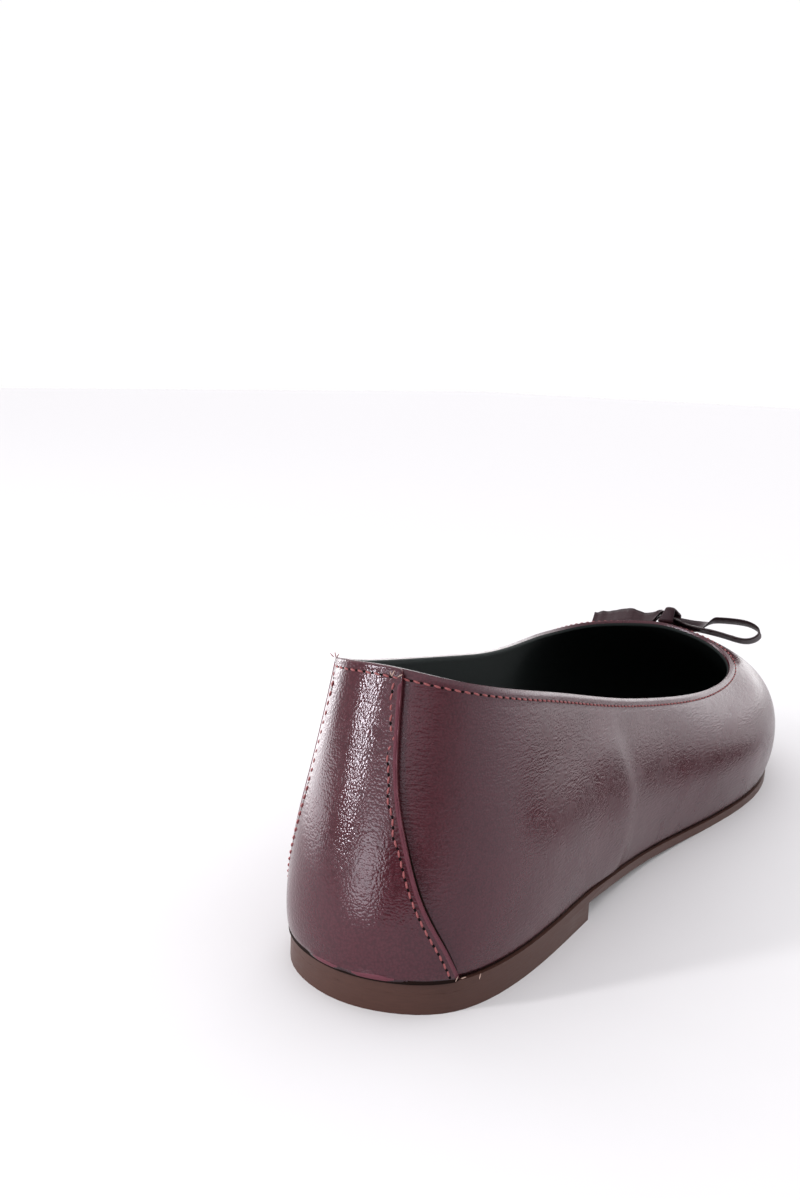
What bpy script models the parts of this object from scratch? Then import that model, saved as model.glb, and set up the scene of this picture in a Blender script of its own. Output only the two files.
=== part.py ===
# Ballet flat for the right foot, in metres: +Y runs from the heel to the toe, +X is the outer
# (lateral) side and +Z is up. The origin is the middle of the heel's foot, on the floor. Lengths in
# the tables start at the back of the heel. Every piece is worked out round the last: one ring on the
# sole, one ring at the topline, and a wall that is drawn between them.

import math
from collections import namedtuple

import bmesh
import bpy
import numpy as np
from mathutils import Vector

# Lengths along the foot
LENGTH = 0.246  # outsole, back of the heel to the tip of the toe
VAMP_LENGTH = 0.0615  # tip of the toe back to the front of the throat
BACK_LEAN = 0.0098  # how far the topline's back stands forward of the sole's back
HEEL_LENGTH = 0.064  # back of the heel block to its breast
TREAD_START = 0.138  # the forefoot lies flat on the floor from here
TREAD_END = 0.177  # to here, and then springs up to the toe

# Widths
HEEL_WIDTH = 0.0540
WAIST_WIDTH = 0.0530
BALL_WIDTH = 0.0766
TOE_SWING = 0.0040  # how far the tip lies inward of the long axis
COLLAR_WIDTH = 0.0420  # topline across the heel
THROAT_WIDTH = 0.0570  # topline across its widest place, behind the throat

# Heights above the floor
HEEL_HEIGHT = 0.0067  # top of the sole at the seat
TOE_SPRING = 0.0050
BACK_HEIGHT = 0.0686  # topline at the back
SIDE_HEIGHT = 0.0440  # topline at the waist, mean of the two sides
THROAT_HEIGHT = 0.0479  # topline at the front

# Thicknesses and clearances
WALL = 0.0018  # leather and lining together
OUTSOLE_THICKNESS = 0.0023
INSOLE_THICKNESS = 0.0020
COUNTER_THICKNESS = 0.0009
FIT_GAP = 0.0003  # between pieces that meet
SOLE_MARGIN = 0.0006  # sole's edge outside the foot of the upper
BREAST_HOLLOW = 0.0012  # how far the heel block's front face curves back

# Back counter
COUNTER_REACH = 0.0293  # from its middle to each edge at the sole, along the wall
COUNTER_SHIFT = 0.0054  # its middle lies this far round to the inner side of the heel's back

# Bow
BOW_SPAN = 0.0555
BOW_STRIP_WIDTH = 0.0085
BOW_STRIP_THICKNESS = 0.0012
BOW_LOOP_HEIGHT = 0.0058
BOW_DROOP = 0.0028  # the loops' ends hang this far below the middle of the knot
BOW_SWEEP = 0.0050  # and lie this far in front of it
BOW_SETBACK = 0.0078  # middle of the bow in front of the throat's edge
KNOT_WIDTH = 0.0060
KNOT_THICKNESS = 0.0012
KNOT_RADIUS = 0.0009  # its corners, at the middle of its thickness

# How fine the facets are
AROUND = 112
UP = 12
COUNTER_ACROSS = 26
STRIP_STEPS = 64

# The sole's outline at each section, heel to toe. "size" is the width that the section follows;
# "outer" and "inner" are shares of half of it.
Outline = namedtuple("Outline", "name along size outer inner")
OUTLINE = (
    Outline("heel round", 0.012, HEEL_WIDTH, 0.447, 0.444),
    Outline("heel corner", 0.041, HEEL_WIDTH, 0.757, 0.759),
    Outline("seat", 0.098, HEEL_WIDTH, 0.935, 0.958),
    Outline("seat front", 0.183, HEEL_WIDTH, 1.000, 1.004),
    Outline("shank", 0.305, WAIST_WIDTH, 1.030, 0.955),
    Outline("waist", 0.427, WAIST_WIDTH, 1.083, 0.921),
    Outline("instep", 0.549, BALL_WIDTH, 0.872, 0.744),
    Outline("outer joint", 0.650, BALL_WIDTH, 0.978, 0.914),
    Outline("inner joint", 0.752, BALL_WIDTH, 0.984, 1.018),
    Outline("toes", 0.846, BALL_WIDTH, 0.838, 0.962),
    Outline("toe corner", 0.927, BALL_WIDTH, 0.585, 0.745),
    Outline("toe round", 0.980, BALL_WIDTH, 0.262, 0.445),
)

# The topline at the same sections. "along" is a share of the way from its back to the throat.
Topline = namedtuple("Topline", "name outer_along inner_along size outer inner height outer_rise inner_rise")
TOPLINE = (
    Topline("heel round", 0.007, 0.007, COLLAR_WIDTH, 0.430, 0.350, BACK_HEIGHT, 0.991, 0.991),
    Topline("heel corner", 0.034, 0.034, COLLAR_WIDTH, 0.745, 0.650, BACK_HEIGHT, 0.968, 0.970),
    Topline("seat", 0.101, 0.101, COLLAR_WIDTH, 0.985, 0.860, BACK_HEIGHT, 0.924, 0.922),
    Topline("seat front", 0.218, 0.218, COLLAR_WIDTH, 1.090, 0.945, BACK_HEIGHT, 0.852, 0.862),
    Topline("shank", 0.383, 0.388, COLLAR_WIDTH, 1.165, 1.030, SIDE_HEIGHT, 1.160, 1.225),
    Topline("waist", 0.548, 0.553, THROAT_WIDTH, 0.935, 0.832, SIDE_HEIGHT, 1.023, 1.120),
    Topline("instep", 0.702, 0.713, THROAT_WIDTH, 1.028, 0.922, SIDE_HEIGHT, 0.932, 1.068),
    Topline("outer joint", 0.816, 0.800, THROAT_WIDTH, 1.056, 0.943, THROAT_HEIGHT, 0.836, 0.968),
    Topline("inner joint", 0.897, 0.880, THROAT_WIDTH, 1.003, 0.882, THROAT_HEIGHT, 0.860, 0.962),
    Topline("toes", 0.952, 0.930, THROAT_WIDTH, 0.825, 0.718, THROAT_HEIGHT, 0.906, 0.978),
    Topline("toe corner", 0.984, 0.968, THROAT_WIDTH, 0.545, 0.472, THROAT_HEIGHT, 0.955, 0.990),
    Topline("toe round", 0.997, 0.991, THROAT_WIDTH, 0.264, 0.208, THROAT_HEIGHT, 0.986, 0.998),
)

# How the wall leaves the sole and reaches the topline at the same sections. "flare" and "lean" are
# degrees: outward of upright at the sole, and below level at the topline. The two pulls are shares
# of the straight distance between the rings.
Wall = namedtuple("Wall", "name flare foot_pull lean top_pull")
WALLS = (
    Wall("heel back", 14, 0.20, 79, 0.34),
    Wall("heel round", 14, 0.20, 79, 0.34),
    Wall("heel corner", 14, 0.20, 80, 0.34),
    Wall("seat", 14, 0.25, 80, 0.35),
    Wall("seat front", 14, 0.30, 81, 0.35),
    Wall("shank", 16, 0.34, 80, 0.36),
    Wall("waist", 18, 0.34, 75, 0.36),
    Wall("instep", 21, 0.32, 57, 0.36),
    Wall("outer joint", 24, 0.30, 37, 0.36),
    Wall("inner joint", 24, 0.26, 21, 0.39),
    Wall("toes", 22, 0.20, 15, 0.42),
    Wall("toe corner", 17, 0.16, 16, 0.42),
    Wall("toe round", 13, 0.15, 18, 0.42),
    Wall("toe tip", 11, 0.15, 20, 0.42),
)

# The back counter's edge. "up" is a share of the wall's height and "reach" of the counter's reach.
Edge = namedtuple("Edge", "name up reach")
COUNTER_EDGE = (
    Edge("foot", 0.00, 1.000),
    Edge("flare", 0.16, 0.905),
    Edge("hollow", 0.33, 0.705),
    Edge("waist", 0.50, 0.550),
    Edge("neck", 0.66, 0.425),
    Edge("shoulder", 0.82, 0.368),
    Edge("top", 1.00, 0.335),
)

# The middle line of each loop's strip. "out" is a share of half the bow's span; "upper" and "lower"
# are shares of the loop's height, above where the two layers lie in the knot.
Loop = namedtuple("Loop", "name out upper lower")
LOOPS = (
    Loop("knot edge", 0.13, 0.00, 0.00),
    Loop("root", 0.32, -0.07, -0.36),
    Loop("middle", 0.55, -0.09, -0.58),
    Loop("belly", 0.76, -0.14, -0.82),
    Loop("shoulder", 0.93, -0.33, -0.78),
)

Material = namedtuple("Material", "name colour roughness metallic")
OXBLOOD = Material("oxblood nappa", (0.102, 0.022, 0.028), 0.34, 0.0)
BLACK_LINING = Material("black lining", (0.006, 0.007, 0.007), 0.62, 0.0)
BROWN_SOLE = Material("brown sole sheet", (0.068, 0.038, 0.030), 0.50, 0.0)


def periodic_spline(knots, period, values, query):
    """A smooth closed curve through the rows of values, read at the query parameters."""
    count = len(knots)
    step = np.diff(np.append(knots, period))
    before = np.roll(step, 1)
    slope = (np.roll(values, -1, axis=0) - values) / step[:, None]
    system = np.zeros((count, count))
    for i in range(count):
        system[i, i - 1] += before[i]
        system[i, i] += 2 * (before[i] + step[i])
        system[i, (i + 1) % count] += step[i]
    bend = np.linalg.solve(system, 6 * (slope - np.roll(slope, 1, axis=0)))
    query = np.mod(query, period)
    i = np.clip(np.searchsorted(knots, query, side="right") - 1, 0, count - 1)
    j = (i + 1) % count
    h = step[i][:, None]
    t = (query - knots[i])[:, None] / h
    s = 1 - t
    curve = s * values[i] + t * values[j]
    return curve + ((s**3 - s) * bend[i] + (t**3 - t) * bend[j]) * h**2 / 6


def ring_of(back, outer, tip, inner):
    """Rows round the last: back of the heel, outer side, tip of the toe, inner side."""
    return np.array([back, *outer, tip, *reversed(inner)], float)


def underside(y):
    """Height of the outsole's lower face above the floor."""
    lift = HEEL_HEIGHT - OUTSOLE_THICKNESS
    arch = np.clip((TREAD_START - y) / (TREAD_START - HEEL_LENGTH), 0, 1) ** 1.4 * lift
    spring = np.clip((y - TREAD_END) / (LENGTH - TREAD_END), 0, 1.1) ** 1.8 * TOE_SPRING
    return arch + spring


def sole_rows():
    """The sole's outline as rows of x and y."""
    half = [row.size / 2 for row in OUTLINE]
    outer = [(row.outer * h, row.along * LENGTH) for row, h in zip(OUTLINE, half)]
    inner = [(-row.inner * h, row.along * LENGTH) for row, h in zip(OUTLINE, half)]
    return ring_of((0, 0), outer, (-TOE_SWING, LENGTH), inner)


def topline_rows():
    """The topline as rows of x, y and z."""
    run = LENGTH - VAMP_LENGTH - BACK_LEAN
    outer, inner = [], []
    for row in TOPLINE:
        half = row.size / 2
        outer.append((row.outer * half, BACK_LEAN + row.outer_along * run, row.outer_rise * row.height))
        inner.append((-row.inner * half, BACK_LEAN + row.inner_along * run, row.inner_rise * row.height))
    back = (COLLAR_WIDTH * 0.02, BACK_LEAN, BACK_HEIGHT)
    front = (THROAT_WIDTH * 0.01, BACK_LEAN + run, THROAT_HEIGHT)
    return ring_of(back, outer, front, inner)


def wall_rows():
    """Flare, foot pull, lean and top pull round the last."""
    rows = [(math.radians(w.flare), w.foot_pull, math.radians(w.lean), w.top_pull) for w in WALLS]
    return ring_of(rows[0], rows[1:-1], rows[-1], rows[1:-1])


def ring_knots():
    """Parameters of the rows and the whole period, closer together where the outline turns."""
    rows = sole_rows()
    chord = np.linalg.norm(np.roll(rows, -1, axis=0) - rows, axis=1)
    knots = np.concatenate([[0], np.cumsum(np.sqrt(chord))])
    return knots[:-1] / knots[-1], 1.0


def outline(u, inset=0.0):
    """Points of the sole's outline at the parameters u, moved inward by the inset."""
    knots, period = ring_knots()
    rows = sole_rows()
    points = periodic_spline(knots, period, rows, u)
    return points - inset * plan_normals(rows, u)


def plan_normals(rows, u):
    """Level unit vectors pointing out of a ring at the parameters u."""
    knots, period = ring_knots()
    step = 1e-4
    ahead = periodic_spline(knots, period, rows[:, :2], u + step)
    behind = periodic_spline(knots, period, rows[:, :2], u - step)
    along = ahead - behind
    along /= np.linalg.norm(along, axis=1)[:, None]
    return np.stack([along[:, 1], -along[:, 0]], axis=1)


def last_surface(u, v):
    """Points of the upper's outer face: u runs round the last, v from the sole (0) to the topline (1)."""
    knots, period = ring_knots()
    top_rows = topline_rows()
    foot_xy = outline(u, SOLE_MARGIN)
    foot = np.column_stack([foot_xy, underside(foot_xy[:, 1]) + OUTSOLE_THICKNESS + FIT_GAP])
    top = periodic_spline(knots, period, top_rows, u)
    flare, foot_pull, lean, top_pull = periodic_spline(knots, period, wall_rows(), u).T
    chord = np.linalg.norm(top - foot, axis=1)
    foot_out = plan_normals(sole_rows(), u)
    top_out = plan_normals(top_rows, u)
    rise = np.column_stack([foot_out * np.sin(flare)[:, None], np.cos(flare)])
    fall = np.column_stack([top_out * np.cos(lean)[:, None], -np.sin(lean)])
    foot_handle = foot + rise * (foot_pull * chord)[:, None]
    top_handle = top + fall * (top_pull * chord)[:, None]
    t = v[:, None]
    s = 1 - t
    return s**3 * foot + 3 * s**2 * t * foot_handle + 3 * s * t**2 * top_handle + t**3 * top


def off_last(u, v, distance):
    """Points that lie a distance outside the upper's outer face."""
    step = 1e-3
    low, high = np.maximum(v - step, 0), np.minimum(v + step, 1)
    around = last_surface(u + step, v) - last_surface(u - step, v)
    upward = last_surface(u, high) - last_surface(u, low)
    normal = np.cross(around, upward)
    normal /= np.linalg.norm(normal, axis=1)[:, None]
    return last_surface(u, v) + distance * normal


def new_object(name, mesh_or_curve, material):
    """Links an object with its own material to the shoe's collection."""
    made = bpy.data.materials.get(material.name) or bpy.data.materials.new(material.name)
    made.use_nodes = True
    shader = made.node_tree.nodes["Principled BSDF"]
    shader.inputs["Base Color"].default_value = (*material.colour, 1)
    shader.inputs["Roughness"].default_value = material.roughness
    shader.inputs["Metallic"].default_value = material.metallic
    made.diffuse_color = (*material.colour, 1)
    mesh_or_curve.materials.append(made)
    made_object = bpy.data.objects.new(name, mesh_or_curve)
    bpy.data.collections["ballet_flat"].objects.link(made_object)
    return made_object


def loft(name, grid, material, closed_around):
    """A mesh through a grid of points, one row of the grid for each ring."""
    rings, count = grid.shape[:2]
    bm = bmesh.new()
    verts = [[bm.verts.new(point) for point in ring] for ring in grid]
    for low, high in zip(verts, verts[1:]):
        for i in range(count if closed_around else count - 1):
            j = (i + 1) % count
            bm.faces.new((low[i], low[j], high[j], high[i]))
    for face in bm.faces:
        face.smooth = True
    mesh = bpy.data.meshes.new(name)
    bm.to_mesh(mesh)
    bm.free()
    return new_object(name, mesh, material)


def thicken(piece, thickness, offset):
    """Gives a sheet its wall. Offset -1 keeps the sheet as the outer face, and +1 as the inner one."""
    solid = piece.modifiers.new("wall", "SOLIDIFY")
    solid.thickness = thickness
    solid.offset = offset
    solid.use_even_offset = True
    solid.use_quality_normals = True


def sheet_solid(name, rim, base_of, thickness, material):
    """A solid sheet inside a rim of x and y, on a lower face whose height follows y."""
    spine_start = rim[:, 1].min() + HEEL_WIDTH / 2
    spine_end = rim[:, 1].max() - BALL_WIDTH / 3
    half = len(rim) // 2
    centre = (rim + np.roll(rim[::-1], 1, axis=0)) / 2
    middle_y = np.clip(centre[:, 1], spine_start, spine_end)
    middle_x = np.interp(middle_y, centre[: half + 1, 1], centre[: half + 1, 0])
    bm = bmesh.new()
    previous = None
    for share in (0.0, 0.12, 0.45, 1.0):
        x = rim[:, 0] * (1 - share) + middle_x * share
        y = rim[:, 1] * (1 - share) + middle_y * share
        ring = [bm.verts.new((px, py, base_of(py))) for px, py in zip(x, y)]
        if previous:
            for i in range(2 * half):
                j = (i + 1) % (2 * half)
                bm.faces.new((previous[i], previous[j], ring[j], ring[i]))
        previous = ring
    bmesh.ops.remove_doubles(bm, verts=bm.verts, dist=1e-5)
    bmesh.ops.recalc_face_normals(bm, faces=bm.faces)
    if bm.faces[0].normal.z > 0:
        bmesh.ops.reverse_faces(bm, faces=bm.faces)
    raised = bmesh.ops.extrude_face_region(bm, geom=bm.faces[:], use_keep_orig=True)
    top = [item for item in raised["geom"] if isinstance(item, bmesh.types.BMVert)]
    bmesh.ops.translate(bm, verts=top, vec=(0, 0, thickness))
    bmesh.ops.recalc_face_normals(bm, faces=bm.faces)
    mesh = bpy.data.meshes.new(name)
    bm.to_mesh(mesh)
    bm.free()
    made = new_object(name, mesh, material)
    mesh.shade_smooth()
    mesh.set_sharp_from_angle(angle=math.radians(35))
    return made


def symmetric_parameters(count):
    """Parameters round the last whose outer and inner halves pair up, heel back and toe tip among them."""
    knots, _ = ring_knots()
    tip = knots[len(OUTLINE) + 1]
    half = count // 2
    outer = np.linspace(0, tip, half + 1)
    inner = np.linspace(tip, 1, half + 1)[1:-1]
    return np.concatenate([outer, inner])


def build_upper():
    u = symmetric_parameters(AROUND)
    grid = np.array([last_surface(u, np.full(AROUND, v)) for v in np.linspace(0, 1, UP + 1)])
    upper = loft("upper", grid, OXBLOOD, closed_around=True)
    thicken(upper, WALL, -1)
    return upper


def counter_half_width(v):
    """Half the back counter's width along the wall, from the sole (0) to the topline (1)."""
    up = np.array([edge.up for edge in COUNTER_EDGE])
    reach = np.array([edge.reach for edge in COUNTER_EDGE])
    slope = np.gradient(reach, up)
    i = min(int(np.searchsorted(up, v, side="right")) - 1, len(up) - 2)
    h = up[i + 1] - up[i]
    t = (v - up[i]) / h
    blend = (2 * t**3 - 3 * t**2 + 1) * reach[i] + (3 * t**2 - 2 * t**3) * reach[i + 1]
    blend += h * ((t**3 - 2 * t**2 + t) * slope[i] + (t**3 - t**2) * slope[i + 1])
    return COUNTER_REACH * blend


def counter_parameters(v, across):
    """The parameter u at a share (-1 to 1) of the counter's half width, at the height v."""
    u = np.linspace(-0.16, 0.12, 281)
    line = last_surface(u, np.full(len(u), v))
    along = np.concatenate([[0], np.cumsum(np.linalg.norm(np.diff(line, axis=0), axis=1))])
    along -= np.interp(0, u, along) - COUNTER_SHIFT
    return np.interp(across * counter_half_width(v), along, u)


def build_back_counter():
    across = np.linspace(-1, 1, COUNTER_ACROSS + 1)
    rows = []
    for v in np.linspace(0, 1, UP + 1):
        u = counter_parameters(v, across)
        rows.append(off_last(u, np.full(len(u), v), FIT_GAP))
    counter = loft("back_counter", np.array(rows), OXBLOOD, closed_around=False)
    thicken(counter, COUNTER_THICKNESS, 1)
    return counter


def build_outsole():
    rim = outline(symmetric_parameters(AROUND))
    return sheet_solid("outsole", rim, underside, OUTSOLE_THICKNESS, BROWN_SOLE)


def build_insole():
    rim = outline(symmetric_parameters(AROUND // 2), SOLE_MARGIN + WALL + 2 * FIT_GAP)

    def base(y):
        return underside(y) + OUTSOLE_THICKNESS + FIT_GAP

    return sheet_solid("insole", rim, base, INSOLE_THICKNESS, BLACK_LINING)


def build_heel():
    """The heel block: the sole's outline back of the breast, from the floor to the outsole."""
    rim = outline(np.linspace(-0.5, 0.5, 4 * AROUND))
    rim = rim[rim[:, 1] < HEEL_LENGTH]
    breast = []
    for share in np.linspace(0, 1, 9)[1:-1]:
        x = rim[-1, 0] * (1 - share) + rim[0, 0] * share
        breast.append((x, HEEL_LENGTH - BREAST_HOLLOW * 4 * share * (1 - share)))
    points = [*rim[::3], *breast]
    tall = HEEL_HEIGHT - OUTSOLE_THICKNESS - FIT_GAP
    curve = bpy.data.curves.new("heel", "CURVE")
    curve.dimensions = "2D"
    curve.fill_mode = "BOTH"
    spline = curve.splines.new("POLY")
    spline.points.add(len(points) - 1)
    for point, (x, y) in zip(spline.points, points):
        point.co = (x, y, 0, 1)
    spline.use_cyclic_u = True
    curve.extrude = tall / 2
    heel = new_object("heel", curve, BROWN_SOLE)
    heel.location.z = tall / 2
    return heel


def throat_frame():
    """Where the bow sits on the vamp: a point, and the directions across, forward and out of the leather."""
    knots, _ = ring_knots()
    tip = knots[len(OUTLINE) + 1]
    v = np.linspace(1, 0.6, 81)
    line = last_surface(np.full(len(v), tip), v)
    along = np.concatenate([[0], np.cumsum(np.linalg.norm(np.diff(line, axis=0), axis=1))])
    seat = Vector([np.interp(BOW_SETBACK, along, line[:, k]) for k in range(3)])
    ahead = Vector([np.interp(BOW_SETBACK + 0.003, along, line[:, k]) for k in range(3)])
    forward = (ahead - seat).normalized()
    across = Vector((1, 0, 0))
    out = across.cross(forward).normalized()
    return seat, across, forward, out


def vamp_below_bow():
    """The vamp's outer face round the bow, as rows of x, y and z in the bow's own directions."""
    seat, across, forward, out = throat_frame()
    knots, _ = ring_knots()
    tip = knots[len(OUTLINE) + 1]
    u, v = np.meshgrid(np.linspace(tip - 0.16, tip + 0.16, 260), np.linspace(0.45, 1, 220), indexing="ij")
    points = last_surface(u.ravel(), v.ravel()) - np.array(seat)
    return points @ np.array([across, forward, out]).T


def bow_path(steps):
    """The strip's middle line: out to each side over the top and back along the vamp."""
    half = BOW_SPAN / 2
    pinch = BOW_STRIP_THICKNESS / 2 + FIT_GAP / 2
    upper = [(row.out * half, pinch + row.upper * BOW_LOOP_HEIGHT) for row in LOOPS]
    lower = [(row.out * half, row.lower * BOW_LOOP_HEIGHT - pinch) for row in reversed(LOOPS)]
    right = [*upper, (half, -BOW_DROOP), *lower]
    left = [(-x, z) for x, z in reversed(right)]
    rows = np.array([*right, *left])
    chord = np.linalg.norm(np.roll(rows, -1, axis=0) - rows, axis=1)
    knots = np.concatenate([[0], np.cumsum(chord)])
    period = knots[-1]
    query = period * np.arange(steps) / steps
    path = periodic_spline(knots[:-1], period, rows, query)
    ground = vamp_below_bow()
    resting = BOW_STRIP_THICKNESS / 2 + 2 * FIT_GAP - bow_lift()
    points = []
    for (x, z), place in zip(path, query):
        reach = max(abs(x) / half - LOOPS[0].out, 0) / (1 - LOOPS[0].out)
        y = BOW_SWEEP * reach
        beside = np.abs(ground[:, 0] - x) < 0.0006
        below = beside & (np.abs(ground[:, 1] - y) < BOW_STRIP_WIDTH / 2)
        z = max(z, ground[below, 2].max() + resting)
        points.append((x, y, z))
    return points


def place_on_vamp(grid, lift):
    """Moves points given across, along the strip's width and above the vamp to their place on the shoe."""
    seat, across, forward, out = throat_frame()
    placed = [[seat + across * x + forward * y + out * (z + lift) for x, y, z in ring] for ring in grid]
    return np.array([[tuple(point) for point in ring] for ring in placed])


def bow_lift():
    """Height of the bow's middle above the vamp's face."""
    return 2 * FIT_GAP + KNOT_THICKNESS + BOW_STRIP_THICKNESS + FIT_GAP / 2


def build_bow_loops():
    path = bow_path(STRIP_STEPS)
    widths = np.linspace(-0.5, 0.5, 5) * BOW_STRIP_WIDTH
    grid = [[(x, y + w, z) for x, y, z in path] for w in widths]
    loops = loft("bow_loops", place_on_vamp(grid, bow_lift()), OXBLOOD, closed_around=True)
    thicken(loops, BOW_STRIP_THICKNESS, 0)
    return loops


def rounded_loop(half_width, half_height, radius, corner_steps):
    """A closed level-sided loop with rounded corners, as points of width and height."""
    points = []
    for corner in range(4):
        side_y = 1 if corner in (0, 3) else -1
        side_z = 1 if corner in (0, 1) else -1
        for i in range(corner_steps + 1):
            a = math.pi / 2 * (corner + i / corner_steps)
            y = side_y * (half_width - radius) + radius * math.cos(a)
            z = side_z * (half_height - radius) + radius * math.sin(a)
            points.append((y, z))
    return points


def build_bow_knot():
    """A band round the middle of the bow."""
    half_width = BOW_STRIP_WIDTH / 2 + FIT_GAP + KNOT_THICKNESS / 2
    half_height = BOW_STRIP_THICKNESS + 1.5 * FIT_GAP + KNOT_THICKNESS / 2
    path = rounded_loop(half_width, half_height, KNOT_RADIUS, 6)
    places = np.linspace(-0.5, 0.5, 5) * KNOT_WIDTH
    grid = [[(x, y, z) for y, z in path] for x in places]
    knot = loft("bow_knot", place_on_vamp(grid, bow_lift()), OXBLOOD, closed_around=True)
    thicken(knot, KNOT_THICKNESS, 0)
    return knot


def main():
    for old in list(bpy.data.objects):
        bpy.data.objects.remove(old)
    collection = bpy.data.collections.new("ballet_flat")
    bpy.context.scene.collection.children.link(collection)
    pieces = [
        build_upper(),
        build_back_counter(),
        build_outsole(),
        build_heel(),
        build_insole(),
        build_bow_loops(),
        build_bow_knot(),
    ]
    for piece in pieces:
        piece.location.y -= HEEL_LENGTH / 2


main()
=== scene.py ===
"""Looks of the right ballet flat: oxblood nappa upper, stitched back counter, ribbon bow and thin sole."""

import logging
import math
from dataclasses import dataclass, field
from enum import Enum

import bpy
import numpy as np
from bpy.types import Material, Mesh, Node, NodeSocket, NodeTree, Object
from mathutils import Matrix, Vector
from mathutils.bvhtree import BVHTree


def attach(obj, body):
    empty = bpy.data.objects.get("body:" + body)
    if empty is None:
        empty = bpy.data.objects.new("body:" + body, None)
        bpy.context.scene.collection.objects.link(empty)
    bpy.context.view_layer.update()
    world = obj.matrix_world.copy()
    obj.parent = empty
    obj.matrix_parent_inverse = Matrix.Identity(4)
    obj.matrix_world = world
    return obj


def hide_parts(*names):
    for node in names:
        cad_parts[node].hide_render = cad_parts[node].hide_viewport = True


LOG = logging.getLogger("ballet_flat")
MM = 0.001
LINE_STEP = 0.7 * MM
Rows = np.ndarray
Pair = tuple[float, float]
Triple = tuple[float, float, float]
Colour = tuple[float, float, float, float]

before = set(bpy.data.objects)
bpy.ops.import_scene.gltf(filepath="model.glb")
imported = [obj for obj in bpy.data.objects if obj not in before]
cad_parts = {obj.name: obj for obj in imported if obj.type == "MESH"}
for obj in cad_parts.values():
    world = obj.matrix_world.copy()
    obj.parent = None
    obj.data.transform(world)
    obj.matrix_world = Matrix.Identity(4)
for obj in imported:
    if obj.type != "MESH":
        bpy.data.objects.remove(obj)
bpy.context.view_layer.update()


class Region(Enum):
    """Parts of a walled sheet: its outer face, its inner face and its cut edges."""

    OUTER = 0
    INNER = 1
    EDGE = 2


class Side(Enum):
    """The two sides of the foot."""

    LATERAL = 1
    MEDIAL = -1


def linear(hex_colour: str) -> Colour:
    """Turns an sRGB hex colour into linear light, with an alpha of one."""
    digits = hex_colour.lstrip("#")
    values = [int(digits[i : i + 2], 16) / 255 for i in (0, 2, 4)]
    light = [v / 12.92 if v <= 0.04045 else ((v + 0.055) / 1.055) ** 2.4 for v in values]
    return (*light, 1.0)


def add_node(tree: NodeTree, kind: str, inputs: dict | None = None, **settings) -> Node:
    """Adds a node with its settings, and sets or links its inputs.

    Args:
        tree: the node tree.
        kind: the node's type name, without its usual first word.
        inputs: input name or index to a value, or to the output socket that feeds it.
        settings: the node's own properties.

    Returns:
        The new node.
    """
    node = tree.nodes.new("ShaderNode" + kind)
    for name, value in settings.items():
        setattr(node, name, value)
    for key, value in (inputs or {}).items():
        if isinstance(value, NodeSocket):
            tree.links.new(value, node.inputs[key])
        else:
            node.inputs[key].default_value = value
    return node


def ramp(tree: NodeTree, value: NodeSocket, span: Pair, gives: Pair, soft: bool = False) -> NodeSocket:
    """Maps one span of a value to another, in a straight line or with soft ends."""
    kind = "SMOOTHSTEP" if soft else "LINEAR"
    inputs = dict(zip(("Value", "From Min", "From Max", "To Min", "To Max"), (value, *span, *gives)))
    return add_node(tree, "MapRange", inputs, interpolation_type=kind).outputs["Result"]


def blend(
    tree: NodeTree,
    factor: NodeSocket | float,
    first: NodeSocket | Colour,
    second: NodeSocket | Colour,
    kind: str = "MIX",
) -> NodeSocket:
    """Mixes or multiplies two colours."""
    inputs = {"Factor": factor, "A": first, "B": second}
    return add_node(tree, "Mix", inputs, data_type="RGBA", blend_type=kind).outputs["Result"]


def noise(tree: NodeTree, place: NodeSocket, size_mm: float, detail: float = 2.0) -> Node:
    """A soft noise whose lumps are as wide as the given size."""
    inputs = {"Vector": place, "Scale": 1 / (size_mm * MM), "Detail": detail}
    return add_node(tree, "TexNoise", inputs)


def kept_gap(tree: NodeTree, name: str) -> NodeSocket:
    """Reads a distance in millimetres that the mesh keeps."""
    return add_node(tree, "Attribute", attribute_name=name).outputs["Fac"]


def new_material(name: str, ior: float) -> tuple[Material, NodeTree, Node]:
    """A new material, its nodes and its shader."""
    made = bpy.data.materials.new(name)
    made.use_nodes = True
    shader = made.node_tree.nodes["Principled BSDF"]
    shader.inputs["IOR"].default_value = ior
    return made, made.node_tree, shader


def grey(value: float) -> Colour:
    """A grey of the given brightness in linear light."""
    return (value, value, value, 1.0)


def make_active(piece: Object | None = None) -> None:
    """Selects one object alone and makes it active, or leaves nothing selected."""
    bpy.ops.object.select_all(action="DESELECT")
    if piece:
        piece.select_set(True)
        bpy.context.view_layer.objects.active = piece


def modify(piece: Object, name: str, kind: str, **settings) -> None:
    """Adds a modifier with its settings and applies it."""
    make_active(piece)
    modifier = piece.modifiers.new(name, kind)
    for key, value in settings.items():
        setattr(modifier, key, value)
    bpy.ops.object.modifier_apply(modifier=modifier.name)


def points_of(mesh: Mesh, kind: str = "co") -> Rows:
    """The mesh's vertices, or their normals, as rows of x, y and z."""
    flat = np.empty(len(mesh.vertices) * 3)
    mesh.vertices.foreach_get(kind, flat)
    return flat.reshape(-1, 3)


def push_out(mesh: Mesh, rise: Rows) -> None:
    """Moves the outer face's vertices along their normals."""
    set_points(mesh, points_of(mesh) + points_of(mesh, "normal") * (rise * outer_share(mesh))[:, None])


def centres_of(mesh: Mesh) -> Rows:
    """The middle of each face."""
    return np.array([polygon.center for polygon in mesh.polygons])


def set_points(mesh: Mesh, points: Rows) -> None:
    """Moves the mesh's vertices to the given rows."""
    mesh.vertices.foreach_set("co", points.ravel())
    mesh.update()


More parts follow.
